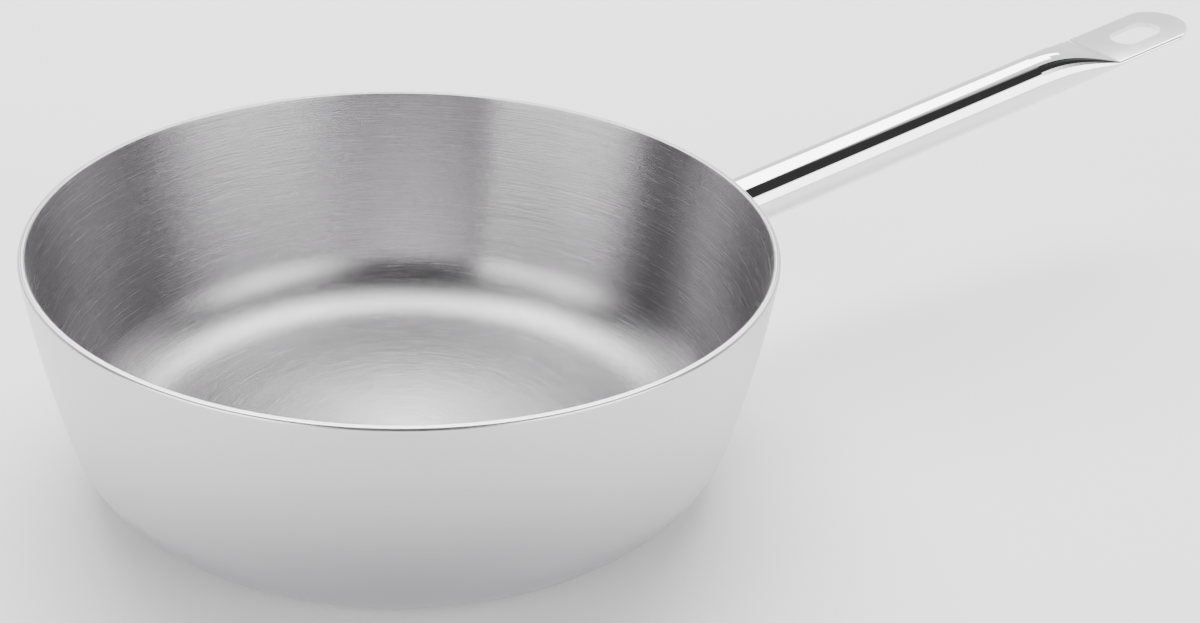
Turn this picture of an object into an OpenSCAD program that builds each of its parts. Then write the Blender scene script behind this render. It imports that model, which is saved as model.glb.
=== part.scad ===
// Conical saucier pan of three-layer clad sheet with a tubular handle.
// Millimetres. The origin is the centre of the base underside, +Z is up and the handle points along +X.

/* [Pan] */
// Diameter over the rim
rim_d = 240; // [220:1:280]
// Height from the underside to the rim
pan_h = 80; // [72:1:100]
// Diameter of the flat base
base_d = 165; // [150:1:170]
// Outside radius of the bend between base and wall
corner_r = 27.5; // [22:0.5:30]
// Radius of the gentle bulge of the wall
bulge_r = 450; // [350:10:900]

/* [Clad sheet] */
// Thickness of the inner steel layer
inner_t = 0.5; // [0.4:0.05:0.8]
// Thickness of the aluminium core
core_t = 1.4; // [1.2:0.1:2.4]
// Thickness of the outer steel layer
outer_t = 0.5; // [0.4:0.05:0.8]
// Radius on the outer edge of the rim
rim_outer_r = 1.0; // [0.6:0.1:1.2]
// Radius on the inner edge of the rim
rim_inner_r = 0.4; // [0.2:0.1:0.6]

/* [Handle] */
// Outside diameter of the handle tube
tube_d = 19; // [17:0.5:22]
// Wall of the handle tube
tube_wall = 1; // [0.8:0.1:1.5]
// Rise of the handle above the horizontal, in degrees
handle_rise = 8.7; // [5:0.1:11]
// Drop of the handle's centre line below the rim at the wall
handle_drop = 24; // [22:0.5:28]
// Length along the handle from the pan's axis to the end of the tab
handle_reach = 363.5; // [330:0.5:420]
// Length of the flat tab
tab_len = 46; // [40:1:60]
// Length over which the tube is pressed flat
flatten_len = 36; // [28:1:50]
// Length of the hanging hole
hole_len = 23; // [18:0.5:26]
// Width of the hanging hole
hole_w = 13; // [8:0.5:15]
// Metal left between the hanging hole and the end of the tab
hole_end_gap = 11.5; // [9:0.5:15]

/* [Handle plate] */
// Thickness of the mounting plate
plate_t = 2; // [1.5:0.1:3]
// Spacing of the upper pair of spot welds
upper_weld_gap = 60; // [52:1:66]
// Spacing of the lower pair of spot welds
lower_weld_gap = 47; // [42:1:54]
// Drop of the upper pair of spot welds below the rim
upper_weld_drop = 9; // [8:0.5:11]
// Drop of the lower pair of spot welds below the rim
lower_weld_drop = 33.5; // [32:0.5:40]
// Metal round each spot weld
weld_margin = 6; // [4.5:0.5:6.5]
// Diameter of a spot weld
weld_d = 5; // [4:0.5:6]
// Depth of the weld in the plate
weld_in_plate = 1; // [0.5:0.1:1.3]
// Depth of the weld in the outer steel layer
weld_in_skin = 0.3; // [0.1:0.05:0.35]
// Diameter of the dent that the welding leaves inside the pan
dent_d = 6; // [4:0.5:8]
// Depth of that dent
dent_depth = 0.3; // [0.1:0.05:0.35]
// Length of the neck of the plate inside the tube
neck_len = 12; // [8:1:20]
// Wall of the neck
neck_wall = 1.5; // [1:0.1:2.5]
// Gap between the neck and the tube
neck_gap = 0.1; // [0.05:0.05:0.3]
// Leg of the weld bead between tube and plate
bead_leg = 2; // [1.5:0.1:3]

/* [Hidden] */
$fn = 96;

steel_bright = [0.78, 0.78, 0.80];
steel_satin = [0.70, 0.70, 0.72];
aluminium = [0.82, 0.82, 0.83];

rim_r = rim_d / 2;
base_r = base_d / 2;
sheet_t = inner_t + core_t + outer_t;

// The outside of the pan is two arcs in tangent: the corner arc stands on the base and the wall arc
// runs from it to the rim. The wall arc's centre is where both distances are met.
corner_c = [base_r, corner_r];
rim_p = [rim_r, pan_h];
chord = norm(rim_p - corner_c);
chord_a = atan2(rim_p[1] - corner_c[1], rim_p[0] - corner_c[0]);
swing = acos((pow(bulge_r - corner_r, 2) + chord * chord - bulge_r * bulge_r)
    / (2 * (bulge_r - corner_r) * chord));
wall_c = corner_c + (bulge_r - corner_r) * dir(chord_a + swing);
wall_low_a = atan2(corner_c[1] - wall_c[1], corner_c[0] - wall_c[0]);

corner_steps = 22;
wall_steps = 10;
edge_steps = 5;

// Unit vector at an angle
function dir(a) = [cos(a), sin(a)];

// Angle on the wall arc at a height, for the surface that lies the given depth inside the outside
function wall_a(z, depth) = asin((z - wall_c[1]) / (bulge_r - depth));

// Point of that surface at a height
function wall_point(z, depth) = wall_c + (bulge_r - depth) * dir(wall_a(z, depth));

// Arc as points, from angle a to angle b
function arc(c, r, a, b, steps) = [for (i = [0:steps]) c + r * dir(a + (b - a) * i / steps)];

// One surface of the sheet from the base's middle up to a height
function surface_points(depth, top) = concat(
    [[0, depth]],
    arc(corner_c, corner_r - depth, -90, wall_low_a, corner_steps),
    [for (i = [1:wall_steps]) wall_c + (bulge_r - depth)
        * dir(wall_low_a + (wall_a(top, depth) - wall_low_a) * i / wall_steps)]);

function reversed(list) = [for (i = [len(list) - 1:-1:0]) list[i]];

// Section of the sheet between two depths, cut level with the rim
module layer_section(from, to) {
    polygon(concat(surface_points(from, pan_h), reversed(surface_points(to, pan_h))));
}

// Metal that the rounded outer edge of the rim lacks
module outer_edge_waste() {
    c_z = pan_h - rim_outer_r;
    c = wall_point(c_z, rim_outer_r);
    out_a = wall_a(c_z, rim_outer_r);
    polygon(concat(arc(c, rim_outer_r, out_a, 90, edge_steps),
        [c + [0, 2 * rim_outer_r], c + [3, 2] * rim_outer_r, c + 3 * rim_outer_r * dir(out_a)]));
}

// Metal that the rounded inner edge of the rim lacks
module inner_edge_waste() {
    c_z = pan_h - rim_inner_r;
    c = wall_point(c_z, sheet_t - rim_inner_r);
    in_a = 180 + wall_a(c_z, sheet_t - rim_inner_r);
    polygon(concat(arc(c, rim_inner_r, in_a, 90, edge_steps),
        [c + [0, 2 * rim_inner_r], c + [-3, 2] * rim_inner_r, c + 3 * rim_inner_r * dir(in_a)]));
}

// One layer of the clad sheet, between two depths below the outside
module clad_layer(from, to) {
    rotate_extrude() difference() {
        layer_section(from, to);
        outer_edge_waste();
        inner_edge_waste();
    }
}

// Band that follows the outside of the wall, between two heights above its surface
module wall_band(from, to) {
    low = pan_h - lower_weld_drop - weld_margin - 2;
    rotate_extrude() polygon(concat(
        [for (i = [0:wall_steps]) wall_point(low + (pan_h - low) * i / wall_steps, -from)],
        [for (i = [wall_steps:-1:0]) wall_point(low + (pan_h - low) * i / wall_steps, -to)]));
}

// Places its child at each spot weld, with +Z along the wall's outward normal
module at_welds() {
    for (pair = [[upper_weld_gap, upper_weld_drop], [lower_weld_gap, lower_weld_drop]])
        for (side = [-1, 1]) {
            z = pan_h - pair[1];
            p = wall_point(z, 0);
            turn = side * asin(pair[0] / 2 / p[0]);
            rotate([0, 0, turn]) translate([p[0], 0, z]) rotate([0, 90 - wall_a(z, 0), 0]) children();
        }
}

// Nugget of melted metal across the joint of plate and outer layer
module nuggets() {
    at_welds() translate([0, 0, -weld_in_skin]) cylinder(d = weld_d, h = weld_in_skin + weld_in_plate);
}

// Dents in the inside of the pan where the welding pressed
module dents() {
    r = (pow(dent_d / 2, 2) + dent_depth * dent_depth) / (2 * dent_depth);
    at_welds() translate([0, 0, dent_depth - sheet_t - r]) sphere(r = r);
}

// The handle's own frame: x runs along its centre line from the pan's axis
wall_r_at_handle = wall_point(pan_h - handle_drop, 0)[0];
axis_z = pan_h - handle_drop - wall_r_at_handle * tan(handle_rise);
tab_start = handle_reach - tab_len;
tube_end = tab_start - flatten_len;
tab_t = 2 * tube_wall;
root_x = wall_r_at_handle - tube_d;

module in_handle_frame() {
    translate([0, 0, axis_z]) rotate([0, -handle_rise, 0]) children();
}

module along_handle(from, to, d) {
    translate([from, 0, 0]) rotate([0, 90, 0]) cylinder(d = d, h = to - from);
}

// Half width of the tube once pressed to a half height: its girth stays the same
function half_width(half_h, r) = half_h + PI * (r - half_h) / 2;

tab_half_w = half_width(tab_t / 2, tube_d / 2);
loft_steps = 14;
side_points = 20;
hollow_share = 0.95;
joint_lap = 1;
seam_step = 0.01;

// Half height of the tube at a share u of the pressed length
function pressed(u, r, end) = r - (r - end) * (1 - cos(90 * pow(u, 1.15)));

// Section of the pressed tube as a ring of points at x
function ring(x, half_h, half_w) = [
    for (side = [1, -1]) for (i = [0:side_points - 1])
        let (a = 90 - 180 * (i + 0.5) / side_points)
        [x, side * (half_w - half_h + half_h * cos(a)), side * half_h * sin(a)]];

// Solid through rings of equal length
module loft(rings) {
    n = len(rings[0]);
    last = len(rings) - 1;
    polyhedron(
        points = [for (r = rings) for (p = r) p],
        faces = concat(
            [[for (i = [n - 1:-1:0]) i]],
            [for (k = [0:last - 1]) for (i = [0:n - 1])
                [k * n + i, (k + 1) * n + (i + 1) % n, (k + 1) * n + i]],
            [for (k = [0:last - 1]) for (i = [0:n - 1])
                [k * n + i, k * n + (i + 1) % n, (k + 1) * n + (i + 1) % n]],
            [[for (i = [0:n - 1]) last * n + i]]),
        convexity = 4);
}

// Ring of the pressed stretch at a share u of its length, moved on by a lap. It lies a hair's step
// below the round tube and the flat tab, so that their surfaces cross cleanly.
function pressed_ring(u, lap, inset) =
    let (h = pressed(u, tube_d / 2, tab_t / 2), below = inset + seam_step)
    ring(tube_end + flatten_len * u + lap, h - below, half_width(h, tube_d / 2) - below);

// Pressed stretch of the tube, or of its hollow when inset is the wall. It laps into what it joins.
module pressed_stretch(inset, reach, end_lap) {
    loft(concat(
        [pressed_ring(0, -joint_lap, inset)],
        [for (k = [0:loft_steps]) pressed_ring(reach * k / loft_steps, 0, inset)],
        [if (end_lap > 0) pressed_ring(reach, end_lap, inset)]));
}

// Flat tab with folded sides and a round end
module tab() {
    intersection() {
        translate([tab_start + joint_lap / 2, 0, 0]) rotate([90, 0, 90]) linear_extrude(tab_len) {
            square([2 * tab_half_w - tab_t, tab_t], center = true);
            for (side = [-1, 1]) translate([side * (tab_half_w - tab_t / 2), 0]) circle(d = tab_t);
        }
        translate([0, 0, -tab_t]) linear_extrude(2 * tab_t) {
            translate([tab_start, -tab_half_w]) square([tab_len - tab_half_w, 2 * tab_half_w]);
            translate([handle_reach - tab_half_w, 0]) circle(r = tab_half_w);
        }
    }
}

module hanging_hole() {
    last = handle_reach - hole_end_gap - hole_w / 2;
    first = last - hole_len + hole_w;
    translate([0, 0, -tab_t]) linear_extrude(2 * tab_t) {
        translate([first, -hole_w / 2]) square([last - first, hole_w]);
        for (x = [first, last]) translate([x, 0]) circle(d = hole_w);
    }
}

// Space that the pan and the plate take at the root of the handle
module root_space(height) {
    low = pan_h - lower_weld_drop - weld_margin - 2;
    rotate_extrude() polygon(concat([[0, low]],
        [for (i = [0:wall_steps]) wall_point(low + (pan_h - low) * i / wall_steps, -height)],
        [[0, pan_h]]));
}

module inner_layer() {
    color(steel_bright) difference() {
        clad_layer(outer_t + core_t, sheet_t);
        dents();
    }
}

module aluminium_core() {
    color(aluminium) clad_layer(outer_t, outer_t + core_t);
}

module outer_layer() {
    color(steel_satin) difference() {
        clad_layer(0, outer_t);
        nuggets();
    }
}

// Outline of the plate as seen along the handle
module plate_outline() {
    hull() for (pair = [[upper_weld_gap, upper_weld_drop], [lower_weld_gap, lower_weld_drop]])
        for (side = [-1, 1])
            translate([side * pair[0] / 2, pan_h - pair[1]]) circle(r = weld_margin, $fn = 32);
}

module handle_plate() {
    neck_d = tube_d - 2 * tube_wall - 2 * neck_gap;
    color(steel_satin) difference() {
        union() {
            intersection() {
                wall_band(0, plate_t);
                rotate([90, 0, 90]) linear_extrude(rim_r + 20) plate_outline();
            }
            difference() {
                in_handle_frame() along_handle(root_x, wall_r_at_handle + plate_t + neck_len, neck_d);
                root_space(plate_t / 2);
            }
        }
        in_handle_frame()
            along_handle(root_x, wall_r_at_handle + plate_t + neck_len + 1, neck_d - 2 * neck_wall);
        nuggets();
    }
}

module spot_welds() {
    color(steel_satin) nuggets();
}

module handle_tube() {
    color(steel_bright) difference() {
        in_handle_frame() difference() {
            union() {
                along_handle(root_x, tube_end - joint_lap / 2, tube_d);
                pressed_stretch(0, 1, joint_lap);
                tab();
            }
            along_handle(root_x - 1, tube_end - joint_lap / 2, tube_d - 2 * tube_wall);
            pressed_stretch(tube_wall, hollow_share, 0);
            hanging_hole();
        }
        root_space(plate_t);
    }
}

module handle_weld_bead() {
    color(steel_satin) difference() {
        intersection() {
            in_handle_frame() along_handle(root_x, wall_r_at_handle + tube_d, tube_d + 2 * bead_leg);
            wall_band(plate_t, plate_t + bead_leg);
        }
        in_handle_frame() along_handle(root_x - 1, wall_r_at_handle + tube_d + 1, tube_d);
        rotate([0, 0, 90]) translate([-rim_r, 0, 0]) cube([2 * rim_r, 2 * rim_r, 2 * pan_h]);
    }
}

inner_layer();
aluminium_core();
outer_layer();
handle_plate();
spot_welds();
handle_tube();
handle_weld_bead();
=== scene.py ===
"""A conical saucier pan of clad sheet with a polished tubular handle, dressed for a studio view. Metres."""
import math

import bpy
from mathutils import Matrix, Vector

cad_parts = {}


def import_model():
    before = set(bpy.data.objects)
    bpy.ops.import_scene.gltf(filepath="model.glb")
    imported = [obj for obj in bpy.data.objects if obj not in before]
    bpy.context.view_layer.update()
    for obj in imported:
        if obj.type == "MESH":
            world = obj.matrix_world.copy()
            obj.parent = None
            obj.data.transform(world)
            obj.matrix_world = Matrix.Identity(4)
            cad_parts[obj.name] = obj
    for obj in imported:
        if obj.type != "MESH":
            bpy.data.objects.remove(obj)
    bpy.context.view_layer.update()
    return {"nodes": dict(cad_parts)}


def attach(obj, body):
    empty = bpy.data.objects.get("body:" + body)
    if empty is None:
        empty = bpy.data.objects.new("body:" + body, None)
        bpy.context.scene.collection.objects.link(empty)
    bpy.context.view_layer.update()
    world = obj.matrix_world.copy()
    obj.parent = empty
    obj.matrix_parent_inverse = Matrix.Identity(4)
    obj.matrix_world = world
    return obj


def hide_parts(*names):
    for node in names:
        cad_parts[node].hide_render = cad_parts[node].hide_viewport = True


MM = 0.001

# Pan: the outside is a corner arc on the base and a wide arc up to the rim
RIM_R = 120 * MM
PAN_H = 80 * MM
BASE_R = 82.5 * MM
CORNER_R = 27.5 * MM
BULGE_R = 450 * MM
SHEET_T = 2.4 * MM
INNER_T = 0.5 * MM
RIM_OUTER_R = 1.0 * MM
RIM_INNER_R = 0.4 * MM
RIM_STRIP = 0.2 * MM

# Fineness of the revolved surfaces
ROUND_STEPS = 256
BASE_STEPS = 24
ARC_STEPS = 40
EDGE_STEPS = 10
ON_AXIS = 1e-7

# Finishes: grain is streaks per metre, bump is their strength and spread how far their shades differ
INSIDE = {"colour": (0.46, 0.45, 0.46), "roughness": 0.26, "anisotropy": 0.85,
          "grain": 2600.0, "bump": 0.35, "spread": 0.12}
OUTSIDE = {"colour": (0.62, 0.61, 0.63), "roughness": 0.30, "anisotropy": 0.25,
           "grain": 1500.0, "bump": 0.05, "spread": 0.02}
CORE = {"colour": (0.80, 0.80, 0.81), "roughness": 0.25, "anisotropy": 0.3,
        "grain": 1500.0, "bump": 0.05, "spread": 0.02}
POLISHED = {"colour": (0.80, 0.80, 0.82), "roughness": 0.05}
WELD = {"colour": (0.55, 0.55, 0.56), "roughness": 0.35}

# Brushing: streaks across the base and up the wall as shares of the grain, and waves along a streak
BASE_GRAIN = 0.8
WALL_GRAIN = 1.1
STREAK_WAVES = 4.0
SHADE_LIMITS = (0.3, 0.7)
BRUSHED_ROUGH = (0.8, 1.2)
SMEARED_ROUGH = (0.6, 1.5)
SMEARED_SHADE = 0.97
SMEAR_BUMP = 0.02
BUMP_DEPTH = 0.2 * MM
QUARTER_TURN = 0.25

# Camera, solved from the rim, the outline and the handle in the 1200 x 623 photograph
IMAGE_W = 1200
FOCAL_PX = 1968.5
SENSOR_W = 36
CLIP_START = 0.01
HANDLE_AZIMUTH = math.radians(29.24)
CAMERA_BACK = 568.7 * MM
CAMERA_ABOVE_RIM = 277.0 * MM
CAMERA_YAW = math.radians(6.379)
CAMERA_PITCH = math.radians(28.128)
CAMERA_ROLL = math.radians(3.023)

# Studio: edges in degrees from the camera's side or above the horizon, and strengths
BOX_INNER = (24, 34)
BOX_OUTER = (72, 82)
BOX_TOP = (30, 36)
BACK_EDGE = (95, 120)
BACK_LIGHT = 1.6
FRONT_LIGHT = 0.05
BOX_LIGHT = 6.0

# Lamp: azimuth 0 is the camera's side and 90 is to its right
WASH_AZIMUTH = math.radians(180)
WASH_ELEVATION = math.radians(60)
WASH_DISTANCE = 2.5
WASH_SIZE = 2.5
WASH_POWER = 160

# Floor
FLOOR_HALF = 6.0
FLOOR_GAP = 0.5 * MM
FLOOR_COLOUR = (0.9, 0.9, 0.9, 1)
FLOOR_ROUGHNESS = 0.7


def direction(angle):
    """Unit vector in the section plane."""
    return Vector((math.cos(angle), math.sin(angle)))


def wall_centre():
    """Centre of the wall arc, in tangent with the corner arc and through the rim."""
    corner = Vector((BASE_R, CORNER_R))
    rim = Vector((RIM_R, PAN_H))
    near = BULGE_R - CORNER_R
    chord = (rim - corner).length
    lean = math.atan2(rim.y - corner.y, rim.x - corner.x)
    swing = math.acos((near ** 2 + chord ** 2 - BULGE_R ** 2) / (2 * near * chord))
    return corner + near * direction(lean + swing)


CORNER_C = Vector((BASE_R, CORNER_R))
WALL_C = wall_centre()
WALL_LOW = math.atan2(CORNER_C.y - WALL_C.y, CORNER_C.x - WALL_C.x)


def wall_angle(z, depth):
    """Angle on the wall arc at a height, that far inside the outside surface."""
    return math.asin((z - WALL_C.y) / (BULGE_R - depth))


def arc(centre, radius, first, last, steps):
    """Points along an arc."""
    return [centre + radius * direction(first + (last - first) * i / steps) for i in range(steps + 1)]


def surface(depth, top):
    """Section of one surface of the sheet, from the axis up to a height."""
    base = [Vector((BASE_R * i / BASE_STEPS, depth)) for i in range(BASE_STEPS)]
    corner = arc(CORNER_C, CORNER_R - depth, -math.pi / 2, WALL_LOW, ARC_STEPS)
    wall = arc(WALL_C, BULGE_R - depth, WALL_LOW, wall_angle(top, depth), ARC_STEPS)
    return base + corner + wall[1:]


def edge_arc(radius, depth, outer):
    """Section of the rounding on one edge of the rim, from the wall up to the flat top."""
    z = PAN_H - radius
    middle = depth + radius if outer else depth - radius
    centre = WALL_C + (BULGE_R - middle) * direction(wall_angle(z, middle))
    side = wall_angle(z, middle) + (0 if outer else math.pi)
    return arc(centre, radius, side, math.pi / 2, EDGE_STEPS)


def new_object(name, data):
    """Object in the scene with its own data."""
    piece = bpy.data.objects.new(name, data)
    bpy.context.scene.collection.objects.link(piece)
    return piece


def revolve(name, section):
    """A smooth surface of revolution about Z from points (r, z), outside on the right of the path."""
    verts = []
    rings = []
    for p in section:
        if p.x < ON_AXIS:
            rings.append([len(verts)])
            verts.append((0, 0, p.y))
            continue
        rings.append(list(range(len(verts), len(verts) + ROUND_STEPS)))
        for k in range(ROUND_STEPS):
            a = 2 * math.pi * k / ROUND_STEPS
            verts.append((p.x * math.cos(a), p.x * math.sin(a), p.y))
    faces = []
    for low, high in zip(rings, rings[1:]):
        if len(low) == 1 and len(high) == 1:
            continue
        for k in range(ROUND_STEPS):
            n = (k + 1) % ROUND_STEPS
            if len(low) == 1:
                faces.append((low[0], high[n], high[k]))
            elif len(high) == 1:
                faces.append((low[k], low[n], high[0]))
            else:
                faces.append((low[k], low[n], high[n], high[k]))
    mesh = bpy.data.meshes.new(name)
    mesh.from_pydata(verts, [], faces)
    mesh.polygons.foreach_set("use_smooth", [True] * len(mesh.polygons))
    mesh.update()
    return new_object(name, mesh)


class Nodes:
    """Short way to write a material's nodes."""

    def __init__(self, name):
        self.material = bpy.data.materials.new(name)
        self.material.use_nodes = True
        self.tree = self.material.node_tree
        self.shader = self.tree.nodes["Principled BSDF"]

    def add(self, kind, **values):
        """New node. A value goes to the setting of its name, or else to that input."""
        node = self.tree.nodes.new(kind)
        for key, value in values.items():
            if hasattr(node, key):
                setattr(node, key, value)
            else:
                node.inputs[key.replace("_", " ")].default_value = value
        return node

    def link(self, out, into):
        self.tree.links.new(out, into)

    def math(self, operation, a, b=None):
        """Output of a sum whose terms are numbers or other nodes' outputs."""
        node = self.add("ShaderNodeMath", operation=operation)
        for i, value in enumerate((a, b)):
            if value is None:
                continue
            if hasattr(value, "links"):
                self.link(value, node.inputs[i])
            else:
                node.inputs[i].default_value = value
        return node.outputs[0]

    def split(self, vector):
        """The three parts of a vector."""
        node = self.add("ShaderNodeSeparateXYZ")
        self.link(vector, node.inputs[0])
        return node.outputs

    def roughen(self, pattern, roughness, limits):
        """Roughness that follows a pattern, between two shares of a value."""
        node = self.add("ShaderNodeMapRange", To_Min=roughness * limits[0], To_Max=roughness * limits[1])
        self.link(pattern, node.inputs["Value"])
        self.link(node.outputs[0], self.shader.inputs["Roughness"])

    def shade(self, pattern, dark, light, limits=(0, 1)):
        """Base colour that follows a pattern, from a dark shade to a light one."""
        node = self.add("ShaderNodeValToRGB")
        for stop, position, colour in zip(node.color_ramp.elements, limits, (dark, light)):
            stop.position = position
            stop.color = (*colour, 1)
        self.link(pattern, node.inputs[0])
        self.link(node.outputs[0], self.shader.inputs["Base Color"])

    def raise_by(self, pattern, strength):
        """Fine relief that follows a pattern."""
        node = self.add("ShaderNodeBump", Strength=strength, Distance=BUMP_DEPTH)
        self.link(pattern, node.inputs["Height"])
        self.link(node.outputs[0], self.shader.inputs["Normal"])


def streaks_round_z(n, grain):
    """Noise drawn out into streaks that run round the Z axis."""
    coords = n.add("ShaderNodeTexCoord")
    x, y, z = n.split(coords.outputs["Object"])
    radius = n.math("SQRT", n.math("ADD", n.math("MULTIPLY", x, x), n.math("MULTIPLY", y, y)))
    angle = n.math("ARCTAN2", y, x)
    across = n.math("ADD", n.math("MULTIPLY", radius, BASE_GRAIN), n.math("MULTIPLY", z, WALL_GRAIN))
    place = n.add("ShaderNodeCombineXYZ")
    n.link(n.math("MULTIPLY", across, grain), place.inputs[0])
    n.link(n.math("MULTIPLY", n.math("SINE", angle), STREAK_WAVES), place.inputs[1])
    n.link(n.math("MULTIPLY", n.math("COSINE", angle), STREAK_WAVES), place.inputs[2])
    streaks = n.add("ShaderNodeTexNoise", Scale=1.0, Detail=6.0, Roughness=0.75)
    n.link(place.outputs[0], streaks.inputs["Vector"])
    return streaks.outputs[0]


def brushed_metal(name, colour, roughness, anisotropy, grain, bump, spread):
    """Steel brushed round the Z axis: its streaks differ in shade, roughness and height."""
    n = Nodes(name)
    streaks = streaks_round_z(n, grain)
    dark = [c * (1 - spread) for c in colour]
    light = [min(1.0, c * (1 + spread)) for c in colour]
    n.shade(streaks, dark, light, SHADE_LIMITS)
    n.roughen(streaks, roughness, BRUSHED_ROUGH)
    n.raise_by(streaks, bump)
    turn = n.add("ShaderNodeTangent", direction_type="RADIAL", axis="Z")
    n.link(turn.outputs[0], n.shader.inputs["Tangent"])
    n.shader.inputs["Metallic"].default_value = 1.0
    n.shader.inputs["Anisotropic"].default_value = anisotropy
    n.shader.inputs["Anisotropic Rotation"].default_value = QUARTER_TURN
    return n.material


def smeared_metal(name, colour, roughness):
    """Steel with faint smears."""
    n = Nodes(name)
    coords = n.add("ShaderNodeTexCoord")
    smear = n.add("ShaderNodeTexNoise", Scale=35.0, Detail=4.0, Roughness=0.6)
    n.link(coords.outputs["Object"], smear.inputs["Vector"])
    n.roughen(smear.outputs[0], roughness, SMEARED_ROUGH)
    n.shade(smear.outputs[0], [c * SMEARED_SHADE for c in colour], colour)
    n.raise_by(smear.outputs[0], SMEAR_BUMP)
    n.shader.inputs["Metallic"].default_value = 1.0
    return n.material


def dress(piece, material):
    """Gives a piece of the scene its material, slot and body."""
    piece.data.materials.append(material)
    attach(piece, "root")


def coat(mesh, material):
    """Gives a CAD node its material."""
    mesh.materials.clear()
    mesh.materials.append(material)


def make_inside(material):
    """The brushed inner layer, whose top ends in the rounded inner edge of the rim."""
    section = surface(SHEET_T, PAN_H - RIM_INNER_R)[:-1] + edge_arc(RIM_INNER_R, SHEET_T, False)
    under = surface(SHEET_T - INNER_T, PAN_H)
    piece = revolve("pan_inside", list(reversed(section)) + under)
    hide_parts("inner_layer")
    dress(piece, material)


def make_outside(material):
    """The satin outside of the pan with the rounded outer edge of the rim and a strip of its flat top."""
    edge = edge_arc(RIM_OUTER_R, 0, True)
    top = Vector((edge[-1].x - RIM_STRIP, PAN_H))
    piece = revolve("pan_outside", surface(0, PAN_H - RIM_OUTER_R)[:-1] + edge + [top])
    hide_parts("outer_layer")
    dress(piece, material)


def make_camera():
    """The photograph's camera. Its place was solved with the handle turned away from the image's right."""
    sy, cy = math.sin(CAMERA_YAW), math.cos(CAMERA_YAW)
    sp, cp = math.sin(CAMERA_PITCH), math.cos(CAMERA_PITCH)
    forward = Vector((sy * cp, cy * cp, -sp))
    right = Vector((cy, -sy, 0))
    up = right.cross(forward)
    sr, cr = math.sin(CAMERA_ROLL), math.cos(CAMERA_ROLL)
    right, up = right * cr + up * sr, up * cr - right * sr
    place = Vector((0, -CAMERA_BACK, CAMERA_ABOVE_RIM + PAN_H))
    turn = Matrix((right, up, -forward)).transposed().to_4x4()
    data = bpy.data.cameras.new("camera")
    data.sensor_width = SENSOR_W
    data.lens = SENSOR_W * FOCAL_PX / IMAGE_W
    data.clip_start = CLIP_START
    camera = new_object("camera", data)
    camera.matrix_world = Matrix.Rotation(-HANDLE_AZIMUTH, 4, "Z") @ Matrix.Translation(place) @ turn
    bpy.context.scene.camera = camera


def make_floor():
    """A pale floor just below the base."""
    mesh = bpy.data.meshes.new("floor")
    h = FLOOR_HALF
    mesh.from_pydata([(-h, -h, 0), (h, -h, 0), (h, h, 0), (-h, h, 0)], [], [(0, 1, 2, 3)])
    floor = new_object("floor", mesh)
    n = Nodes("floor")
    n.shader.inputs["Base Color"].default_value = FLOOR_COLOUR
    n.shader.inputs["Roughness"].default_value = FLOOR_ROUGHNESS
    mesh.materials.append(n.material)
    floor.location.z = -FLOOR_GAP


def make_wash():
    """A wide lamp behind and above the pan, which faces it and lightens the floor."""
    azimuth = WASH_AZIMUTH - HANDLE_AZIMUTH
    level = math.cos(WASH_ELEVATION)
    aim = Vector((math.sin(azimuth) * level, -math.cos(azimuth) * level, math.sin(WASH_ELEVATION)))
    data = bpy.data.lights.new("floor_wash", "AREA")
    data.shape = "RECTANGLE"
    data.size = WASH_SIZE
    data.size_y = WASH_SIZE
    data.energy = WASH_POWER
    lamp = new_object("floor_wash", data)
    lamp.location = aim * WASH_DISTANCE
    lamp.rotation_euler = (-aim).to_track_quat("-Z", "Y").to_euler()


class Sky(Nodes):
    """The studio round the object, as light by direction."""

    def __init__(self, name):
        self.world = bpy.data.worlds.new(name)
        self.world.use_nodes = True
        self.tree = self.world.node_tree
        self.background = self.tree.nodes["Background"]

    def step(self, value, low, high):
        """Rises smoothly from 0 at low to 1 at high, both in degrees."""
        node = self.add("ShaderNodeMapRange", interpolation_type="SMOOTHSTEP",
                        From_Min=math.radians(low), From_Max=math.radians(high))
        self.link(value, node.inputs["Value"])
        return node.outputs[0]

    def dot(self, axis, x, y):
        return self.math("ADD", self.math("MULTIPLY", x, axis[0]), self.math("MULTIPLY", y, axis[1]))


def make_sky():
    """White back, a dark front, and a low soft box on either side of the camera."""
    sky = Sky("studio")
    coords = sky.add("ShaderNodeTexCoord")
    x, y, z = sky.split(coords.outputs["Generated"])
    s, c = math.sin(HANDLE_AZIMUTH), math.cos(HANDLE_AZIMUTH)
    turn = sky.math("ARCTAN2", sky.dot((c, -s), x, y), sky.dot((-s, -c), x, y))
    aside = sky.math("ABSOLUTE", turn)
    height = sky.math("ARCSINE", z)
    inner = sky.step(aside, *BOX_INNER)
    outer = sky.math("SUBTRACT", 1.0, sky.step(aside, *BOX_OUTER))
    under_top = sky.math("SUBTRACT", 1.0, sky.step(height, *BOX_TOP))
    box = sky.math("MULTIPLY", sky.math("MULTIPLY", inner, outer), under_top)
    back = sky.step(aside, *BACK_EDGE)
    base = sky.math("ADD", sky.math("MULTIPLY", back, BACK_LIGHT), FRONT_LIGHT)
    total = sky.math("ADD", base, sky.math("MULTIPLY", box, BOX_LIGHT))
    sky.link(total, sky.background.inputs["Strength"])
    sky.background.inputs["Color"].default_value = (1, 1, 1, 1)
    bpy.context.scene.world = sky.world


def main():
    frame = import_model()
    outside = brushed_metal("satin_outside", **OUTSIDE)
    weld = smeared_metal("weld", **WELD)
    make_inside(brushed_metal("brushed_inside", **INSIDE))
    make_outside(outside)
    coats = {"aluminium_core": brushed_metal("core_edge", **CORE),
             "handle_plate": outside,
             "spot_welds": weld,
             "handle_tube": smeared_metal("polished_handle", **POLISHED),
             "handle_weld_bead": weld}
    for node, material in coats.items():
        coat(frame["nodes"][node].data, material)
    make_floor()
    make_camera()
    make_sky()
    make_wash()


main()
